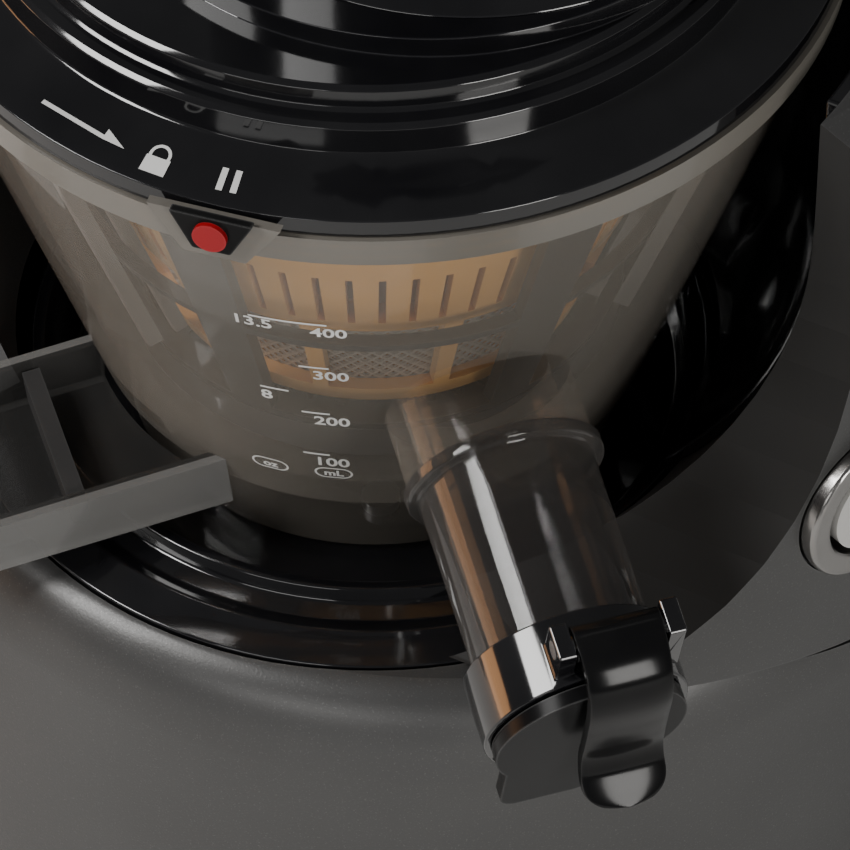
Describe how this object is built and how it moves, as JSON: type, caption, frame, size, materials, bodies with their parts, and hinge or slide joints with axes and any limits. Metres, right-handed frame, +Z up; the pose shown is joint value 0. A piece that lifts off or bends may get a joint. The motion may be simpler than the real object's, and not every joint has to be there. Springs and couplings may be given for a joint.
{
  "type": "vertical slow juicer",
  "caption": "Upright slow juicer: geared motor base wrapping a smoked clear bowl with strainer, wiper, auger, capped spout, pulp chute and feed lid.",
  "frame": {"origin": "middle of the footprint on the table, under the bowl's own axis", "axes": "+Z up along the bowl's axis, -Y towards the front, +X to the right seen from the front"},
  "size_m": [0.2097, 0.2602, 0.4403],
  "materials": {
    "shell_grey": "fine-grained metallic grey",
    "gloss_black": "gloss black",
    "dark_plastic": "matte near-black",
    "rubber": "matte black rubber",
    "steel": "brushed steel",
    "bright_trim": "bright ring",
    "light_plastic": "pale satin plastic",
    "board_green": "coated board",
    "winding": "copper winding and laminations",
    "gear_plastic": "ivory gear plastic",
    "smoked_clear": "smoked clear plastic",
    "rim_beige": "frosted beige",
    "red_plastic": "red mark",
    "silicone": "grey silicone",
    "amber_plastic": "smoky amber plastic"
  },
  "bodies": {
    "base": {"lower_shell": "shell_grey", "upper_housing": "shell_grey", "seat_ring": "gloss_black", "bay_liner": "gloss_black", "bottom_cover": "dark_plastic", "rubber_feet": "rubber", "cover_screws": "steel", "cord_gland": "rubber", "handle_insert": "dark_plastic", "switch_bezel": "bright_trim", "switch_body": "dark_plastic", "control_board": "board_green", "motor_can": "steel", "motor_mount": "rubber", "stator": "winding", "motor_bearings": "steel", "gearbox_base": "dark_plastic", "gearbox_cover": "dark_plastic", "gearbox_screws": "steel", "layshaft_pin": "steel", "output_bearings": "steel", "shaft_seal": "rubber"},
    "switch": {"switch_rocker": "light_plastic"},
    "rotor": {"rotor_core": "winding", "rotor_shaft": "steel", "cooling_fan": "light_plastic", "motor_pinion": "steel"},
    "reduction": {"reduction_gear": "gear_plastic"},
    "drive": {"output_gear": "gear_plastic", "drive_shaft": "steel"},
    "bowl_set": {"bowl": "smoked_clear", "bowl_rim": "rim_beige", "lock_tab": "dark_plastic", "red_mark": "red_plastic", "bowl_seal": "silicone", "pulp_chute": "smoked_clear", "pulp_plug": "silicone", "juice_spout": "smoked_clear", "spout_collar": "gloss_black", "lever_pin": "steel", "strainer_frame": "amber_plastic", "strainer_mesh": "steel", "idler_pin": "steel"},
    "spout_door": {"spout_lever": "gloss_black", "spout_flap": "gloss_black", "flap_seal": "silicone"},
    "wiper": {"wiper_frame": "dark_plastic", "wiper_blades": "silicone"},
    "idler": {"idler_gear": "gear_plastic"},
    "auger_set": {"auger": "amber_plastic", "auger_gear": "gear_plastic"},
    "lid_set": {"lid": "gloss_black", "feed_chute": "gloss_black", "lid_hub": "gloss_black", "cap_ears": "gloss_black", "lid_seal": "silicone", "lid_bush": "gear_plastic", "cap_pin": "steel"},
    "cap": {"feed_cap": "gloss_black"},
    "pusher_rod": {"pusher": "gloss_black"}
  },
  "joints": [
    {"name": "switch_rock", "type": "hinge", "parent": "base", "child": "switch", "pos_m": [0.09086, -0.00797, 0.199], "axis": [0.3502, 0.9367, 0], "range_deg": [-8, 8]},
    {"name": "drive_spin", "type": "hinge", "parent": "base", "child": "drive", "pos_m": [0, 0, 0.13], "axis": [0, 0, 1], "continuous": true},
    {"name": "reduction_spin", "type": "hinge", "parent": "base", "child": "reduction", "pos_m": [0, 0.045, 0.12], "axis": [0, 0, 1], "continuous": true},
    {"name": "rotor_spin", "type": "hinge", "parent": "base", "child": "rotor", "pos_m": [-0.02519, 0.01981, 0.06], "axis": [0, 0, 1], "continuous": true},
    {"name": "bowl_lift", "type": "slide", "parent": "base", "child": "bowl_set", "axis": [0, 0, 1], "range_m": [0, 0.13]},
    {"name": "auger_spin", "type": "hinge", "parent": "bowl_set", "child": "auger_set", "pos_m": [0, 0, 0.23], "axis": [0, 0, 1], "continuous": true},
    {"name": "idler_spin", "type": "hinge", "parent": "bowl_set", "child": "idler", "pos_m": [0, 0.0255, 0.198], "axis": [0, 0, 1], "continuous": true},
    {"name": "wiper_spin", "type": "hinge", "parent": "bowl_set", "child": "wiper", "pos_m": [0, 0, 0.2], "axis": [0, 0, 1], "continuous": true},
    {"name": "spout_door_swing", "type": "hinge", "parent": "bowl_set", "child": "spout_door", "pos_m": [0.08248, -0.07544, 0.22597], "axis": [-0.7009, -0.7133, 0], "range_deg": [0, 100]},
    {"name": "lid_turn", "type": "hinge", "parent": "bowl_set", "child": "lid_set", "pos_m": [0, 0, 0.285], "axis": [0, 0, 1], "range_deg": [-30, 0]},
    {"name": "cap_swing", "type": "hinge", "parent": "lid_set", "child": "cap", "pos_m": [0.01324, 0.05554, 0.418], "axis": [-1, 0, 0], "range_deg": [0, 105]},
    {"name": "pusher_slide", "type": "slide", "parent": "cap", "child": "pusher_rod", "axis": [0, 0, 1], "range_m": [0, 0.06]}
  ],
  "couplings": [
    {"joint": "reduction_spin", "follows": "drive_spin", "ratio": -4},
    {"joint": "rotor_spin", "follows": "drive_spin", "ratio": 15},
    {"joint": "auger_spin", "follows": "drive_spin", "ratio": 1},
    {"joint": "idler_spin", "follows": "drive_spin", "ratio": -1.8333},
    {"joint": "wiper_spin", "follows": "drive_spin", "ratio": -0.47826}
  ]
}
